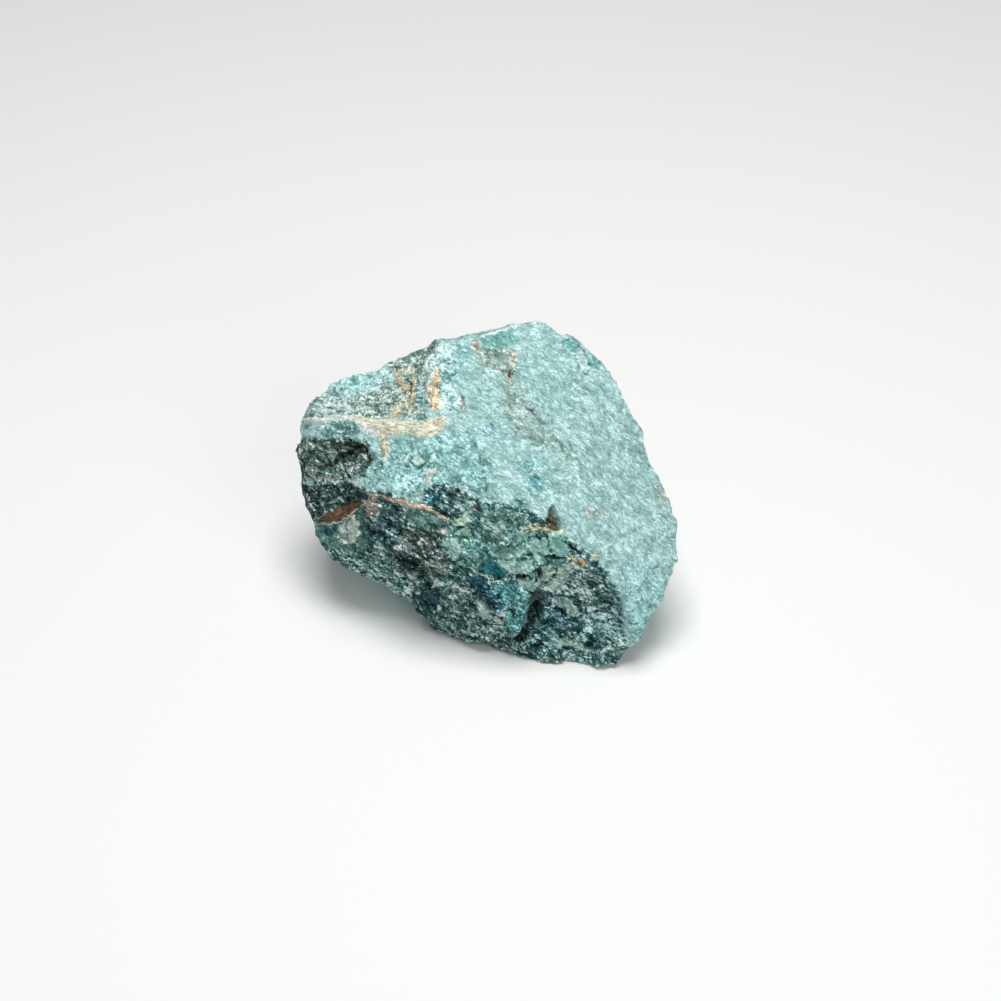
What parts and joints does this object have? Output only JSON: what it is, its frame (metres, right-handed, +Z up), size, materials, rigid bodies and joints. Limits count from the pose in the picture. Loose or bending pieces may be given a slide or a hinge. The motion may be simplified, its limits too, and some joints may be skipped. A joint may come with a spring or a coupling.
{
  "type": "rough blue apatite stone",
  "caption": "Rough, broken chunk of pale greenish blue apatite with a smooth slanted top face, dark rough front, cream veins and a flat spot to rest on.",
  "frame": {"origin": "middle of the stone's bounding box, at the level of the flat spot that it rests on", "axes": "+Z up, +X along the stone's length, -Y towards the rough front"},
  "size_m": [0.0704, 0.0492, 0.0463],
  "materials": {
    "blue_apatite": "rough broken crystal, pale greenish blue with dark and cream patches"
  },
  "bodies": {
    "root": {"apatite": "blue_apatite"}
  },
  "joints": []
}
